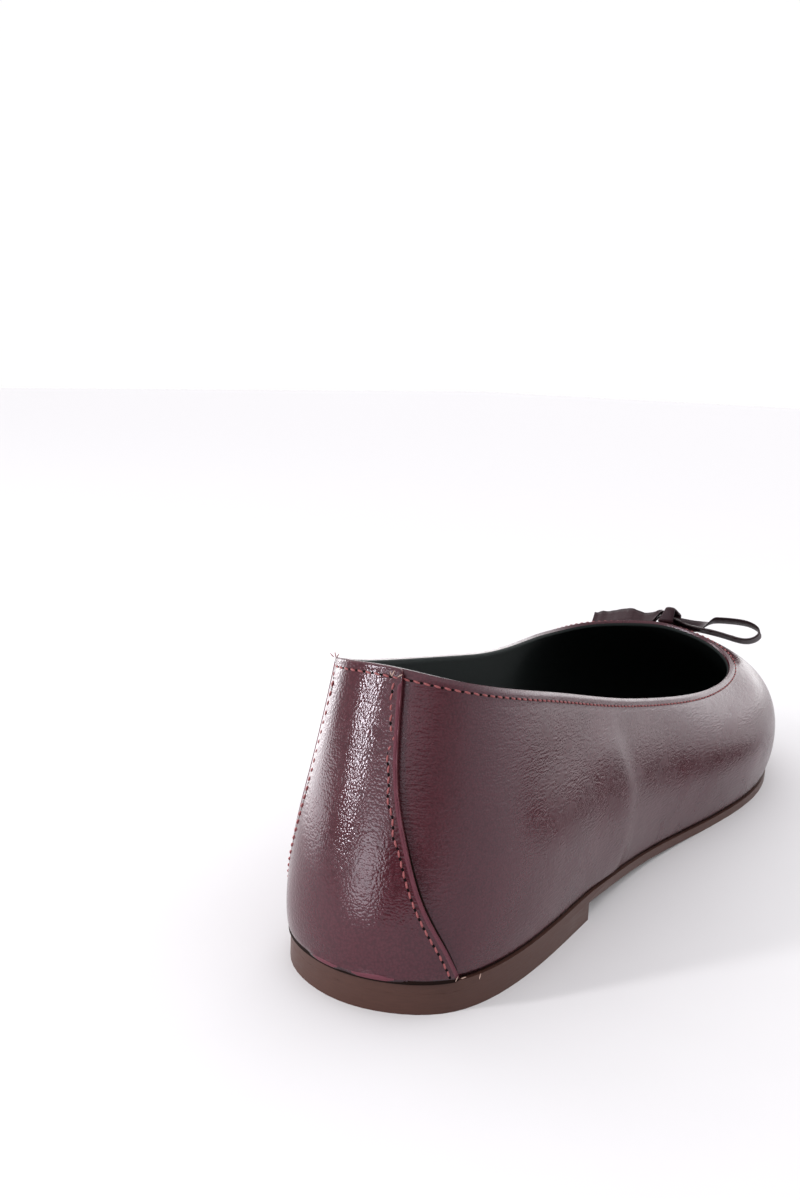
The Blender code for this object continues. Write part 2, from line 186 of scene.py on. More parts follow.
def smooth_step(value: Rows, low: float, high: float) -> Rows:
    """Rises smoothly from 0 at low to 1 at high."""
    t = np.clip((value - low) / (high - low), 0, 1)
    return t * t * (3 - 2 * t)


def copy_of_node(node: str, name: str) -> Object:
    """Copies a CAD node's mesh into a new piece, with its loose triangles merged into quads.

    Args:
        node: the CAD node's name.
        name: the new piece's name.

    Returns:
        The new object, at the origin, which stands for the node.
    """
    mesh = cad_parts[node].data.copy()
    mesh.name = name
    mesh.materials.clear()
    piece = bpy.data.objects.new(name, mesh)
    bpy.context.scene.collection.objects.link(piece)
    make_active(piece)
    bpy.ops.object.mode_set(mode="EDIT")
    bpy.ops.mesh.select_all(action="SELECT")
    bpy.ops.mesh.remove_doubles(threshold=0.00001)
    bpy.ops.mesh.tris_convert_to_quads(face_threshold=math.radians(60), shape_threshold=math.radians(100))
    bpy.ops.mesh.select_all(action="DESELECT")
    bpy.ops.object.mode_set(mode="OBJECT")
    if mesh.has_custom_normals:
        bpy.ops.mesh.customdata_custom_splitnormals_clear()
    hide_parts(node)
    return piece


def faces_beside(mesh: Mesh) -> dict[tuple[int, int], list[int]]:
    """Lists the faces at each edge."""
    beside: dict[tuple[int, int], list[int]] = {}
    for polygon in mesh.polygons:
        for key in polygon.edge_keys:
            beside.setdefault(key, []).append(polygon.index)
    return beside


def mark_regions(mesh: Mesh, sharp_degrees: float) -> None:
    """Marks each face of a walled sheet as outer face, inner face or cut edge.

    The two largest patches between sharp edges are the wall's faces, and the larger one is outside.

    Args:
        mesh: the walled sheet's mesh.
        sharp_degrees: an edge that turns more than this parts two patches.
    """
    normals = np.array([polygon.normal for polygon in mesh.polygons])
    limit = math.cos(math.radians(sharp_degrees))
    neighbours: list[list[int]] = [[] for _ in mesh.polygons]
    for faces in faces_beside(mesh).values():
        if len(faces) == 2 and float(normals[faces[0]] @ normals[faces[1]]) > limit:
            neighbours[faces[0]].append(faces[1])
            neighbours[faces[1]].append(faces[0])
    unseen = set(range(len(mesh.polygons)))
    patches: list[list[int]] = []
    while unseen:
        patch = [unseen.pop()]
        for face in patch:
            fresh = unseen.intersection(neighbours[face])
            unseen -= fresh
            patch.extend(fresh)
        patches.append(patch)
    patches.sort(key=lambda patch: -sum(mesh.polygons[face].area for face in patch))
    values = np.full(len(mesh.polygons), Region.EDGE.value, np.int32)
    values[patches[0]] = Region.OUTER.value
    values[patches[1]] = Region.INNER.value
    mesh.attributes.new("region", "INT", "FACE").data.foreach_set("value", values)


def region_of_faces(mesh: Mesh) -> Rows:
    """Each face's region number."""
    values = np.empty(len(mesh.polygons), np.int32)
    mesh.attributes["region"].data.foreach_get("value", values)
    return values


def cut_borders(mesh: Mesh, region: Region) -> list[tuple[int, int]]:
    """The edges that lie between a region's faces and the cut edge's."""
    regions = region_of_faces(mesh)
    wanted = {region.value, Region.EDGE.value}
    return [key for key, faces in faces_beside(mesh).items() if {int(regions[f]) for f in faces} == wanted]


def chains(edges: list[tuple[int, int]]) -> list[list[int]]:
    """Joins loose edges into closed runs of vertex indices."""
    links: dict[int, list[int]] = {}
    for a, b in edges:
        links.setdefault(a, []).append(b)
        links.setdefault(b, []).append(a)
    unseen, runs = set(links), []
    while unseen:
        start = min(unseen)
        run, here, before = [start], start, None
        unseen.discard(start)
        while True:
            ahead = [n for n in links[here] if n != before and (n in unseen or n == start)]
            if not ahead or ahead[0] == start:
                break
            before, here = here, ahead[0]
            unseen.discard(here)
            run.append(here)
        runs.append(run)
    return runs


def outer_share(mesh: Mesh) -> Rows:
    """One for each vertex whose faces all lie on the outer face, and otherwise nothing."""
    share = np.ones(len(mesh.vertices))
    regions = region_of_faces(mesh)
    for polygon in mesh.polygons:
        if regions[polygon.index] != Region.OUTER.value:
            share[list(polygon.vertices)] = 0
    return share


def smooth_copy(node: str, name: str, levels: int, firm: Pair, sharp_degrees: float = 48) -> Object:
    """Copies a walled CAD node, marks its regions, and subdivides it with its cut edges held.

    Args:
        node: the CAD node's name.
        name: the new piece's name.
        levels: how many times it is subdivided.
        firm: how firmly the cut edge's outer and inner borders are held, from 0 to 1.
        sharp_degrees: an edge that turns more than this parts two regions.

    Returns:
        The smoothed piece.
    """
    piece = copy_of_node(node, name)
    mesh = piece.data
    mark_regions(mesh, sharp_degrees)
    index = {tuple(sorted(edge.vertices)): edge.index for edge in mesh.edges}
    values = np.zeros(len(mesh.edges), np.float32)
    for region, weight in zip((Region.OUTER, Region.INNER), firm):
        for key in cut_borders(mesh, region):
            values[index[tuple(sorted(key))]] = weight
    attribute = mesh.attributes.get("crease_edge") or mesh.attributes.new("crease_edge", "FLOAT", "EDGE")
    attribute.data.foreach_set("value", values)
    modify(piece, "smooth skin", "SUBSURF", levels=levels, render_levels=levels, use_limit_surface=False)
    bpy.ops.object.shade_smooth()
    return piece


def gap_to_line(points: Rows, line: Rows, closed: bool = True) -> Rows:
    """Distance from each point to a polyline, in metres.

    Args:
        points: rows of x, y and z.
        line: the polyline's points.
        closed: whether the line runs back to its start.

    Returns:
        One distance for each point.
    """
    start = line if closed else line[:-1]
    span = (np.roll(line, -1, axis=0) if closed else line[1:]) - start
    length = np.linalg.norm(span, axis=1)
    gaps = []
    for low in range(0, len(points), 2000):
        block = points[low : low + 2000, None, :] - start[None]
        t = np.clip((block * span[None]).sum(2) / (length**2)[None], 0, 1)
        gaps.append(np.linalg.norm(block - t[..., None] * span[None], axis=2).min(axis=1))
    return np.concatenate(gaps)


def store(mesh: Mesh, name: str, values: Rows) -> None:
    """Keeps one number for each vertex, in millimetres, for the materials to read."""
    kept = mesh.attributes.new(name, "FLOAT", "POINT")
    kept.data.foreach_set("value", (values / MM).astype(np.float32))


def outer_tree(*pieces: Object) -> BVHTree:
    """A search tree over the outer faces of several walled pieces."""
    points: list[tuple] = []
    faces: list[tuple] = []
    for piece in pieces:
        base = len(points)
        points += [tuple(vertex.co) for vertex in piece.data.vertices]
        for polygon, region in zip(piece.data.polygons, region_of_faces(piece.data)):
            if region == Region.OUTER.value:
                faces.append(tuple(base + i for i in polygon.vertices))
    return BVHTree.FromPolygons(points, faces)


def smooth_line(line: Rows, closed: bool, passes: int) -> Rows:
    """Evens out a run of points by averaging each with its neighbours."""
    for _ in range(passes):
        mean = (np.roll(line, 1, axis=0) + line * 2 + np.roll(line, -1, axis=0)) / 4
        if not closed:
            mean[0], mean[-1] = line[0], line[-1]
        line = mean
    return line


def evenly_spaced(line: Rows, step: float, closed: bool) -> tuple[Rows, Rows]:
    """Points along a polyline at an even step, and the line's direction at each."""
    if closed:
        line = np.vstack([line, line[:1]])
    length = np.concatenate([[0], np.cumsum(np.linalg.norm(np.diff(line, axis=0), axis=1))])
    count = max(int(round(length[-1] / step)), 1)
    places = np.linspace(0, length[-1], count + 1)
    places = places[:-1] if closed else places

    def at_runs(runs: Rows) -> Rows:
        """The line's points at the given runs."""
        held = np.clip(runs, 0, length[-1])
        return np.column_stack([np.interp(held, length, line[:, k]) for k in range(3)])

    at = at_runs(places)
    along = at_runs(places + step / 2) - at_runs(places - step / 2)
    return at, along / np.linalg.norm(along, axis=1)[:, None]


@dataclass(frozen=True)
class Nappa:
    """Oxblood nappa: drum-dyed, with a fine rolled grain and a thin glossy finish.

    The finish gives broken highlights over the pebbles, and a mauve veil where it mirrors a pale room.
    Sizes, depths and bands are in millimetres.
    """

    name: str = "oxblood nappa leather, rolled grain, glossy finish"
    colour: str = "#4e222a"
    deep_colour: str = "#401a21"
    cloud: float = 14.0
    wander: float = 2.4
    pull: float = 0.8
    pebble: float = 0.46
    pebble_depth: float = 0.032
    valley_shade_level: float = 0.7
    crinkle: Pair = (1.7, 0.55)
    crinkle_depth: float = 0.05
    slack: float = 8.0
    slack_depth: float = 0.05
    roughness: float = 0.24
    ior: float = 1.5
    sheen_tint: Colour = (0.95, 0.90, 1.0, 1.0)
    # Painted shade towards the wall's foot: whether it is drawn, its band in millimetres and its darkest
    # level.
    paints_foot_shade: bool = True
    foot_shade_band: Pair = (0.25, 1.0)
    foot_shade_level: float = 0.12
    reads_edge: bool = False
    raw_band: Pair = (0.65, 0.95)
    raw_colour: str = "#602a36"
    raw_roughness: float = 0.55

    def build(self) -> Material:
        """Makes the material, which reads object coordinates and the gaps kept on the mesh."""
        made, tree, shader = new_material(self.name, self.ior)
        shader.inputs["Specular Tint"].default_value = self.sheen_tint
        place = add_node(tree, "TexCoord").outputs["Object"]
        pull = {0: noise(tree, place, self.wander).outputs["Color"], 1: (self.pull * MM,) * 3}
        pulled = add_node(tree, "VectorMath", pull, operation="MULTIPLY").outputs["Vector"]
        moved = {0: place, 1: pulled}
        warped = add_node(tree, "VectorMath", moved, operation="ADD").outputs["Vector"]
        # Small domes with narrow valleys between them: they break a highlight into bright grains.
        domes = {"Vector": warped, "Scale": 1 / (self.pebble * MM), "Randomness": 0.9}
        pebbles = add_node(tree, "TexVoronoi", domes, feature="F1").outputs["Distance"]
        # Long low crinkles that run round the shoe, as the hide is pulled over the last.
        wide, tall = (1 / (size * MM) for size in self.crinkle)
        drawn = add_node(tree, "Mapping", {"Vector": warped, "Scale": (wide, wide, tall)})
        worms = {"Vector": drawn.outputs["Vector"], "Scale": 1.0, "Detail": 1.0}
        crinkles = add_node(tree, "TexNoise", worms).outputs["Fac"]
        slack = noise(tree, place, self.slack).outputs["Fac"]
        cloudy = noise(tree, place, self.cloud).outputs["Fac"]
        tint = blend(tree, cloudy, linear(self.deep_colour), linear(self.colour))
        # Painted shade: the colour darkens in the valleys between the pebbles.
        valley_shade = ramp(tree, pebbles, (0.25, 0.75), (1.0, self.valley_shade_level))
        colour = blend(tree, 1.0, tint, valley_shade, "MULTIPLY")
        rough = ramp(tree, slack, (0.3, 0.7), (self.roughness - 0.04, self.roughness + 0.06))
        if self.paints_foot_shade:
            # Painted shade: the colour darkens towards the wall's foot, where it meets the sole.
            gap = kept_gap(tree, "foot_gap")
            unshaded = ramp(tree, gap, self.foot_shade_band, (self.foot_shade_level, 1.0), soft=True)
            colour = blend(tree, 1.0, colour, unshaded, "MULTIPLY")
        if self.reads_edge:
            # The skived margin along a panel's cut edge is raw: redder and duller.
            raw = ramp(tree, kept_gap(tree, "edge_gap"), self.raw_band, (1.0, 0.0), soft=True)
            colour = blend(tree, raw, colour, linear(self.raw_colour))
            dulled = {"Factor": raw, "A": rough, "B": self.raw_roughness}
            rough = add_node(tree, "Mix", dulled).outputs["Result"]
        tree.links.new(colour, shader.inputs["Base Color"])
        tree.links.new(rough, shader.inputs["Roughness"])
        normal = None
        depths = (self.slack_depth, self.crinkle_depth, -self.pebble_depth)
        for depth, height in zip(depths, (slack, crinkles, pebbles)):
            inputs = {"Strength": 1.0, "Distance": abs(depth) * MM, "Height": height}
            if normal is not None:
                inputs["Normal"] = normal
            normal = add_node(tree, "Bump", inputs, invert=depth < 0).outputs["Normal"]
        tree.links.new(normal, shader.inputs["Normal"])
        return made


@dataclass(frozen=True)
class PlainFinish:
    """A plain surface with a little unevenness in its colour, gloss and relief, in millimetres."""

    name: str
    colour: str
    second_colour: str
    roughness: float
    grain: float
    relief: float
    ior: float = 1.5
    stretch: Triple = (1.0, 1.0, 1.0)

    def build(self) -> Material:
        """Makes the material from one stretched noise."""
        made, tree, shader = new_material(self.name, self.ior)
        place = add_node(tree, "TexCoord").outputs["Object"]
        turned = add_node(tree, "Mapping", {"Vector": place, "Scale": self.stretch})
        grain = noise(tree, turned.outputs["Vector"], self.grain, 5.0).outputs["Fac"]
        tint = blend(tree, grain, linear(self.second_colour), linear(self.colour))
        gloss = ramp(tree, grain, (0.3, 0.7), (self.roughness - 0.05, self.roughness + 0.05))
        relief = {"Strength": 1.0, "Distance": self.relief * MM, "Height": grain}
        tree.links.new(tint, shader.inputs["Base Color"])
        tree.links.new(gloss, shader.inputs["Roughness"])
        bump = add_node(tree, "Bump", relief).outputs["Normal"]
        tree.links.new(bump, shader.inputs["Normal"])
        return made


def made_of(finish: Nappa | PlainFinish) -> Material:
    """A dataclass field that holds the finish's material."""
    return field(default_factory=finish.build)


@dataclass
class Finishes:
    """All the materials, made once."""

    nappa: Material = made_of(Nappa(crinkle=(2.2, 0.5), crinkle_depth=0.075))
    # Stretched over the heel and plated glossier, with coarser pebbles that sparkle in the strip light.
    panel: Material = made_of(
        Nappa(
            "oxblood nappa leather with a raw skived edge",
            pebble=0.58,
            pebble_depth=0.042,
            crinkle_depth=0.03,
            roughness=0.14,
            reads_edge=True,
        )
    )
    # Painted shade: a darker, duller copy of the shoe's nappa for the bow, whose loops read darker than the
    # lit shoe.
    ribbon: Material = made_of(
        Nappa(
            "oxblood nappa ribbon, skived thin",
            "#2e1217",
            "#240d12",
            roughness=0.5,
            ior=1.33,
            paints_foot_shade=False,
        )
    )
    # Sueded, so it gives back almost no light.
    lining: Material = made_of(
        PlainFinish("black pigskin lining, matte", "#232828", "#191d1d", 0.85, 0.5, 0.03, 1.25)
    )
    # Cut and dyed, so its fibres show as a dull redder line.
    cut_edge: Material = made_of(
        PlainFinish("raw cut leather edge, dyed maroon", "#5c2029", "#3a1219", 0.6, 0.3, 0.05)
    )
    # Painted over, so it reads as a dark rim.
    dark_edge: Material = made_of(
        PlainFinish("painted strip edge, dark", "#2c191d", "#1d1013", 0.5, 0.3, 0.03)
    )
    # Sanded along the band, which leaves faint level streaks under a satin seal.
    sole: Material = made_of(
        PlainFinish(
            "brown sole sheet, sanded and sealed",
            "#4f332c",
            "#402822",
            roughness=0.46,
            grain=0.35,
            relief=0.035,
            ior=1.36,
            stretch=(0.12, 0.12, 1.0),
        )
    )
    # Bonded smooth, with a soft gleam on each stitch.
    thread: Material = made_of(
        PlainFinish("bonded sewing thread, brick rose", "#a05656", "#74343a", 0.6, 0.12, 0.03)
    )
    # Frayed open, so the pale core shows.
    frayed: Material = made_of(
        PlainFinish("frayed thread end, undyed core", "#c3a79c", "#94766c", 0.7, 0.12, 0.02)
    )
    # Brushed on and left dull, so it reads as a shadow line.
    # Painted shadow: a dull, near black line that stands in for the shade in the step at the sole and beside
    # the counter's foot.
    groove: Material = made_of(
        PlainFinish("cement line at the sole, dull black brown", "#22130f", "#120a09", 0.9, 0.4, 0.08, 1.2)
    )
    hole: Material = made_of(PlainFinish("needle hole, unlit", "#12080a", "#0a0506", 0.9, 0.3, 0.01, 1.2))
    flag: Material = made_of(PlainFinish("black felt flag", "#020202", "#010101", 0.9, 1.0, 0.0, 1.2))
    bounce: Material = made_of(PlainFinish("white bounce card", "#ffffff", "#fdfdfd", 0.9, 1.0, 0.0, 1.1))
    floor: Material = made_of(PlainFinish("matt white board", "#dfdde0", "#dddbde", 0.9, 20.0, 0.0, 1.1))


def dress(piece: Object, *materials: Material) -> None:
    """Gives a walled sheet its outer, inner and edge materials, and any further ones, by region."""
    for material in materials:
        piece.data.materials.append(material)
    piece.data.polygons.foreach_set("material_index", region_of_faces(piece.data))
    piece.data.update()


def paint(mesh: Mesh, chosen: Rows, number: int) -> None:
    """Gives the chosen faces another of the piece's materials."""
    for index in np.nonzero(chosen)[0]:
        mesh.polygons[int(index)].material_index = number


def hand_over(piece: Object, material: Material | None = None) -> None:
    """Attaches a piece to the root body, and gives it its material where it has only one."""
    if material:
        piece.data.materials.append(material)
    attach(piece, "root")
    LOG.info("%s: %d faces", piece.name, len(piece.data.polygons))


def on_side(points: Rows, side: Side) -> Rows:
    """Rises smoothly to one on the given side of the foot."""
    return smooth_step(points[:, 0] * side.value / MM, 4, 12)


@dataclass(frozen=True)
class Ridge:
    """A soft ridge across the side wall, such as a stiffener's front edge under the leather.

    The line holds places as (along the shoe, height) in millimetres, from the top down.
    """

    line: tuple[Pair, ...]
    height_mm: float
    heel_width_mm: float
    toe_width_mm: float
    side: Side

    def rise(self, points: Rows) -> Rows:
        """How far each point is pushed outward, in metres."""
        along, level = points[:, 1] / MM, points[:, 2] / MM
        knots = np.array(sorted(self.line, key=lambda p: p[1]))
        crest = np.interp(level, knots[:, 1], knots[:, 0])
        gap = along - crest
        width = np.where(gap < 0, self.heel_width_mm, self.toe_width_mm)
        ends = smooth_step(level, knots[0, 1] - 6, knots[0, 1] + 4)
        ends = ends * (1 - smooth_step(level, knots[-1, 1] - 6, knots[-1, 1] + 6))
        return self.height_mm * MM * np.exp(-((gap / width) ** 2)) * ends * on_side(points, self.side)


@dataclass(frozen=True)
class Dent:
    """A shallow hollow in the side wall: its centre and reach along and up, in millimetres, and its depth."""

    centre_mm: Pair
    reach_mm: Pair
    depth_mm: float
    side: Side

    def rise(self, points: Rows) -> Rows:
        """How far each point is pushed outward, in metres; a hollow gives less than nothing."""
        along = (points[:, 1] / MM - self.centre_mm[0]) / self.reach_mm[0]
        level = (points[:, 2] / MM - self.centre_mm[1]) / self.reach_mm[1]
        return -self.depth_mm * MM * np.exp(-(along**2) - level**2) * on_side(points, self.side)


@dataclass(frozen=True)
class FoldedTop:
    """The rolled edge above the topline seam and the groove that the seam draws in."""

    roll_mm: float = 0.22
    roll_at_mm: float = 0.9
    groove_mm: float = 0.16
    groove_at_mm: float = 1.9
    roll_reach_mm: float = 0.7
    groove_reach_mm: float = 0.55

    def rise(self, gap: Rows) -> Rows:
        """How far each point is pushed outward, from its distance to the topline, in metres."""
        gap = gap / MM
        roll = self.roll_mm * np.exp(-(((gap - self.roll_at_mm) / self.roll_reach_mm) ** 2))
        groove = self.groove_mm * np.exp(-(((gap - self.groove_at_mm) / self.groove_reach_mm) ** 2))
        return (roll - groove) * MM


@dataclass(frozen=True)
class Tuck:
    """The wall's foot, drawn in where it meets the sole."""

    depth_mm: float = 0.45
    reach_mm: float = 1.3

    def rise(self, gap: Rows) -> Rows:
        """How far each point is pushed outward, from its distance to the wall's foot, in metres."""
        near = np.clip(1 - gap / MM / self.reach_mm, 0, 1)
        return -self.depth_mm * MM * near**2


@dataclass(frozen=True)
class FootLip:
    """A place where the counter's lower edge lifts off the sole as a small raw lip.

    The middle and half length run across the shoe, in millimetres.
    """

    middle_mm: float
    half_mm: float
    lift_mm: float = 0.45
    level_mm: float = 0.8
    reach_mm: float = 0.6

    def share(self, points: Rows, gap: Rows) -> Rows:
        """How much each point belongs to the lip, from nothing to one."""
        along = np.exp(-(((points[:, 0] / MM - self.middle_mm) / self.half_mm) ** 4))
        level = np.exp(-(((gap / MM - self.level_mm) / self.reach_mm) ** 2))
        return along * level * (points[:, 1] < 0)


@dataclass
class Upper:
    """The lasted shell of leather and lining."""

    finishes: Finishes
    levels: int = 2
    relief: tuple[Ridge | Dent, ...] = (
        Ridge(((41, 43), (44, 38), (49, 27), (48.5, 15), (46, 6)), 0.60, 11.0, 4.6, Side.LATERAL),
        Ridge(((40, 43), (43, 38), (47, 27), (47, 15), (45, 6)), 0.40, 9.0, 4.0, Side.MEDIAL),
        Dent((14, 45), (18, 9), 0.40, Side.LATERAL),
        Dent((10, 28), (20, 10), -0.35, Side.LATERAL),
        Dent((20, 30), (16, 9), 0.40, Side.MEDIAL),
    )
    fold: FoldedTop = FoldedTop()
    tuck: Tuck = Tuck()
    rim_reach: float = 2 * MM
    rim_points: int = 60
    piece: Object | None = None
    topline: Rows | None = None
    foot: Rows | None = None

    def build(self) -> None:
        """Copies the CAD wall, marks its regions, rounds its folded edge, smooths and shapes it."""
        self.piece = smooth_copy("upper", "upper_leather", self.levels, (0.75, 0.9))
        points = points_of(self.piece.data)
        runs = sorted(chains(cut_borders(self.piece.data, Region.OUTER)), key=lambda run: -len(run))[:2]
        self.foot, self.topline = sorted((points[run] for run in runs), key=lambda line: line[:, 2].mean())
        self.shape()

    def shape(self) -> None:
        """Pushes the outer face out and in for its fold, foot, ridges and dents."""
        mesh = self.piece.data
        points = points_of(mesh)
        foot_gap = gap_to_line(points, self.foot)
        rise = self.fold.rise(gap_to_line(points, self.topline)) + self.tuck.rise(foot_gap)
        for form in self.relief:
            rise = rise + form.rise(points)
        push_out(mesh, rise)
        store(mesh, "foot_gap", foot_gap)

    def finish(self) -> None:
        """Dresses the wall: leather outside and over the fold, lining inside and up to the fold's crest."""
        mesh = self.piece.data
        points = points_of(mesh)
        rims = [points[run] for run in chains(cut_borders(mesh, Region.INNER)) if len(run) > self.rim_points]
        to_lining = gap_to_line(centres_of(mesh), max(rims, key=lambda line: line[:, 2].mean()))
        to_leather = gap_to_line(centres_of(mesh), self.topline)
        dress(self.piece, self.finishes.nappa, self.finishes.lining, self.finishes.nappa)
        inward = (to_lining < to_leather) & (to_lining < self.rim_reach)
        paint(mesh, inward & (region_of_faces(mesh) == Region.EDGE.value), Region.INNER.value)
        hand_over(self.piece)


@dataclass
class BackCounter:
    """The panel laid over the heel, with raw cut edges."""

    finishes: Finishes
    upper: Upper
    levels: int = 3
    foot_lift: float = 0.9 * MM
    raw_width: float = 0.9 * MM
    skive: float = 0.4 * MM
    foot_shade_width: float = 0.42 * MM
    lips: tuple[FootLip, ...] = (FootLip(-4.5, 4.2), FootLip(6.5, 5.2))
    piece: Object | None = None
    sides: dict[Side, Rows] = field(default_factory=dict)

    def build(self) -> None:
        """Copies the CAD panel, marks its regions and smooths it with firm edges."""
        self.piece = smooth_copy("back_counter", "back_counter_panel", self.levels, (0.9, 1.0))
        run = max(chains(cut_borders(self.piece.data, Region.OUTER)), key=len)
        self.sides = self.side_edges(points_of(self.piece.data)[run])
        self.shape()

    def shape(self) -> None:
        """Gives the panel the topline's fold and draws its foot in."""
        mesh = self.piece.data
        points = points_of(mesh)
        fold = self.upper.fold.rise(gap_to_line(points, self.upper.topline))
        foot_gap = gap_to_line(points, self.upper.foot) - self.foot_lift
        edge_gap = np.min([gap_to_line(points, edge, closed=False) for edge in self.sides.values()], axis=0)
        skived = self.skive * np.clip(1 - edge_gap / self.raw_width, 0, 1) ** 2
        lip = np.sum([form.share(points, foot_gap) for form in self.lips], axis=0)
        push_out(mesh, fold + self.upper.tuck.rise(foot_gap) - skived + lip * self.lips[0].lift_mm * MM)
        store(mesh, "foot_gap", foot_gap)
        # A lip is raw right across, as the edge is.
        store(mesh, "edge_gap", edge_gap * (1 - np.clip(lip * 1.6, 0, 1)))

    def side_edges(self, line: Rows) -> dict[Side, Rows]:
        """Splits the outer face's closed outline into its two side edges, each from the top down."""
        top = line[line[:, 2] > np.percentile(line[:, 2], 99) - 4 * MM]
        low = line[line[:, 2] < line[:, 2].min() + 1 * MM]
        found = {}
        for side in Side:
            corner = top[(top[:, 0] * side.value).argmax()]
            beside = low[low[:, 0] * side.value > 0]
            a = int(np.linalg.norm(line - corner, axis=1).argmin())
            b = int(np.linalg.norm(line - beside[beside[:, 1].argmax()], axis=1).argmin())
            forward = [k % len(line) for k in range(a, a + (b - a) % len(line) + 1)]
            backward = [k % len(line) for k in range(a, a - (a - b) % len(line) - 1, -1)]
            found[side] = line[forward if len(forward) < len(backward) else backward]
        return found

    def finish(self) -> None:
        """Dresses the panel: leather outside, maroon on the cut edge, and a dark line of painted shadow along
        its foot.
        """
        made = (self.finishes.panel, self.finishes.nappa, self.finishes.cut_edge, self.finishes.groove)
        dress(self.piece, *made)
        foot_gap = gap_to_line(centres_of(self.piece.data), self.upper.foot) - self.foot_lift
        # Painted shadow: the faces nearest the foot take the near-black material.
        paint(self.piece.data, foot_gap < self.foot_shade_width, made.index(self.finishes.groove))
        hand_over(self.piece)


@dataclass
class StitchRow:
    """A row of lockstitches along a seam line."""

    name: str
    finishes: Finishes
    line: Rows
    outward: Rows
    closed: bool
    pitch: float = 2.1 * MM
    thread: float = 0.45 * MM
    hole: float = 0.29 * MM
    hole_stretch: float = 1.5
    hole_depth: float = 0.05 * MM
    shown: float = 0.76
    arch: float = 0.55
    sunk: float = 0.25
    slant: float = 9.0

    def build(self) -> None:
        """Copies one stitch and one needle hole along the line and joins each kind."""
        at, along = evenly_spaced(self.line, self.pitch, self.closed)
        out = self.outward[[int(np.linalg.norm(self.line - place, axis=1).argmin()) for place in at]]
        stitch = self.master_stitch()
        hole = self.master_hole()
        self.spread(stitch, at, along, out, self.name + "_thread", self.finishes.thread, slant=self.slant)
        self.spread(hole, at + along * self.pitch / 2, along, out, self.name + "_holes", self.finishes.hole)

    @staticmethod
    def small_ball(rings: int) -> Object:
        """A small round form to shape a master from."""
        make_active()
        bpy.ops.mesh.primitive_uv_sphere_add(segments=8, ring_count=rings, radius=1, location=(0, 0, 0))
        return bpy.context.object

    def master_stitch(self) -> Object:
        """One thread end to end: a slim spindle whose ends turn down into the leather."""
        master = self.small_ball(7)
        half = self.thread / 2
        for vertex in master.data.vertices:
            x, y, z = vertex.co
            lift = ((1 - (z * z) ** 1.2) * self.arch - self.sunk) * self.thread
            vertex.co = (y * half, z * self.pitch * self.shown / 2, x * half + lift)
        return master

    def master_hole(self) -> Object:
        """One needle hole: a flat dark dimple."""
        master = self.small_ball(5)
        for vertex in master.data.vertices:
            x, y, z = vertex.co
            vertex.co = (x * self.hole, y * self.hole * self.hole_stretch, z * self.hole_depth)
        return master

    @staticmethod
    def spread(
        master: Object,
        at: Rows,
        along: Rows,
        out: Rows,
        name: str,
        material: Material,
        lift: float = 0.0,
        slant: float = 0.0,
    ) -> None:
        """Copies the master to every place, joins the copies and removes the master.

        Args:
            master: the object to copy; its length lies on Y and its top faces +Z.
            at: the places.
            along: the seam's direction at each place.
            out: the leather's outward direction at each place.
            name: the joined piece's name.
            material: its material.
            lift: how far the copies stand off the leather.
            slant: how many degrees each copy turns in the leather's plane.
        """
        turn = math.radians(slant)
        across = np.cross(along, out)
        across /= np.linalg.norm(across, axis=1)[:, None]
        ahead = np.cross(out, across)
        forward = ahead * math.cos(turn) + across * math.sin(turn)
        aside = across * math.cos(turn) - ahead * math.sin(turn)
        basis = np.stack([aside, forward, out], axis=1)
        rows = points_of(master.data) @ basis + (at + out * lift)[:, None]
        make_active()
        copies = [bpy.data.objects.new(name, master.data.copy()) for _ in rows]
        for copy, points in zip(copies, rows):
            set_points(copy.data, points)
            bpy.context.scene.collection.objects.link(copy)
            copy.select_set(True)
        bpy.data.objects.remove(master)
        bpy.context.view_layer.objects.active = copies[0]
        bpy.ops.object.join()
        bpy.ops.object.shade_smooth()
        hand_over(copies[0], material=material)


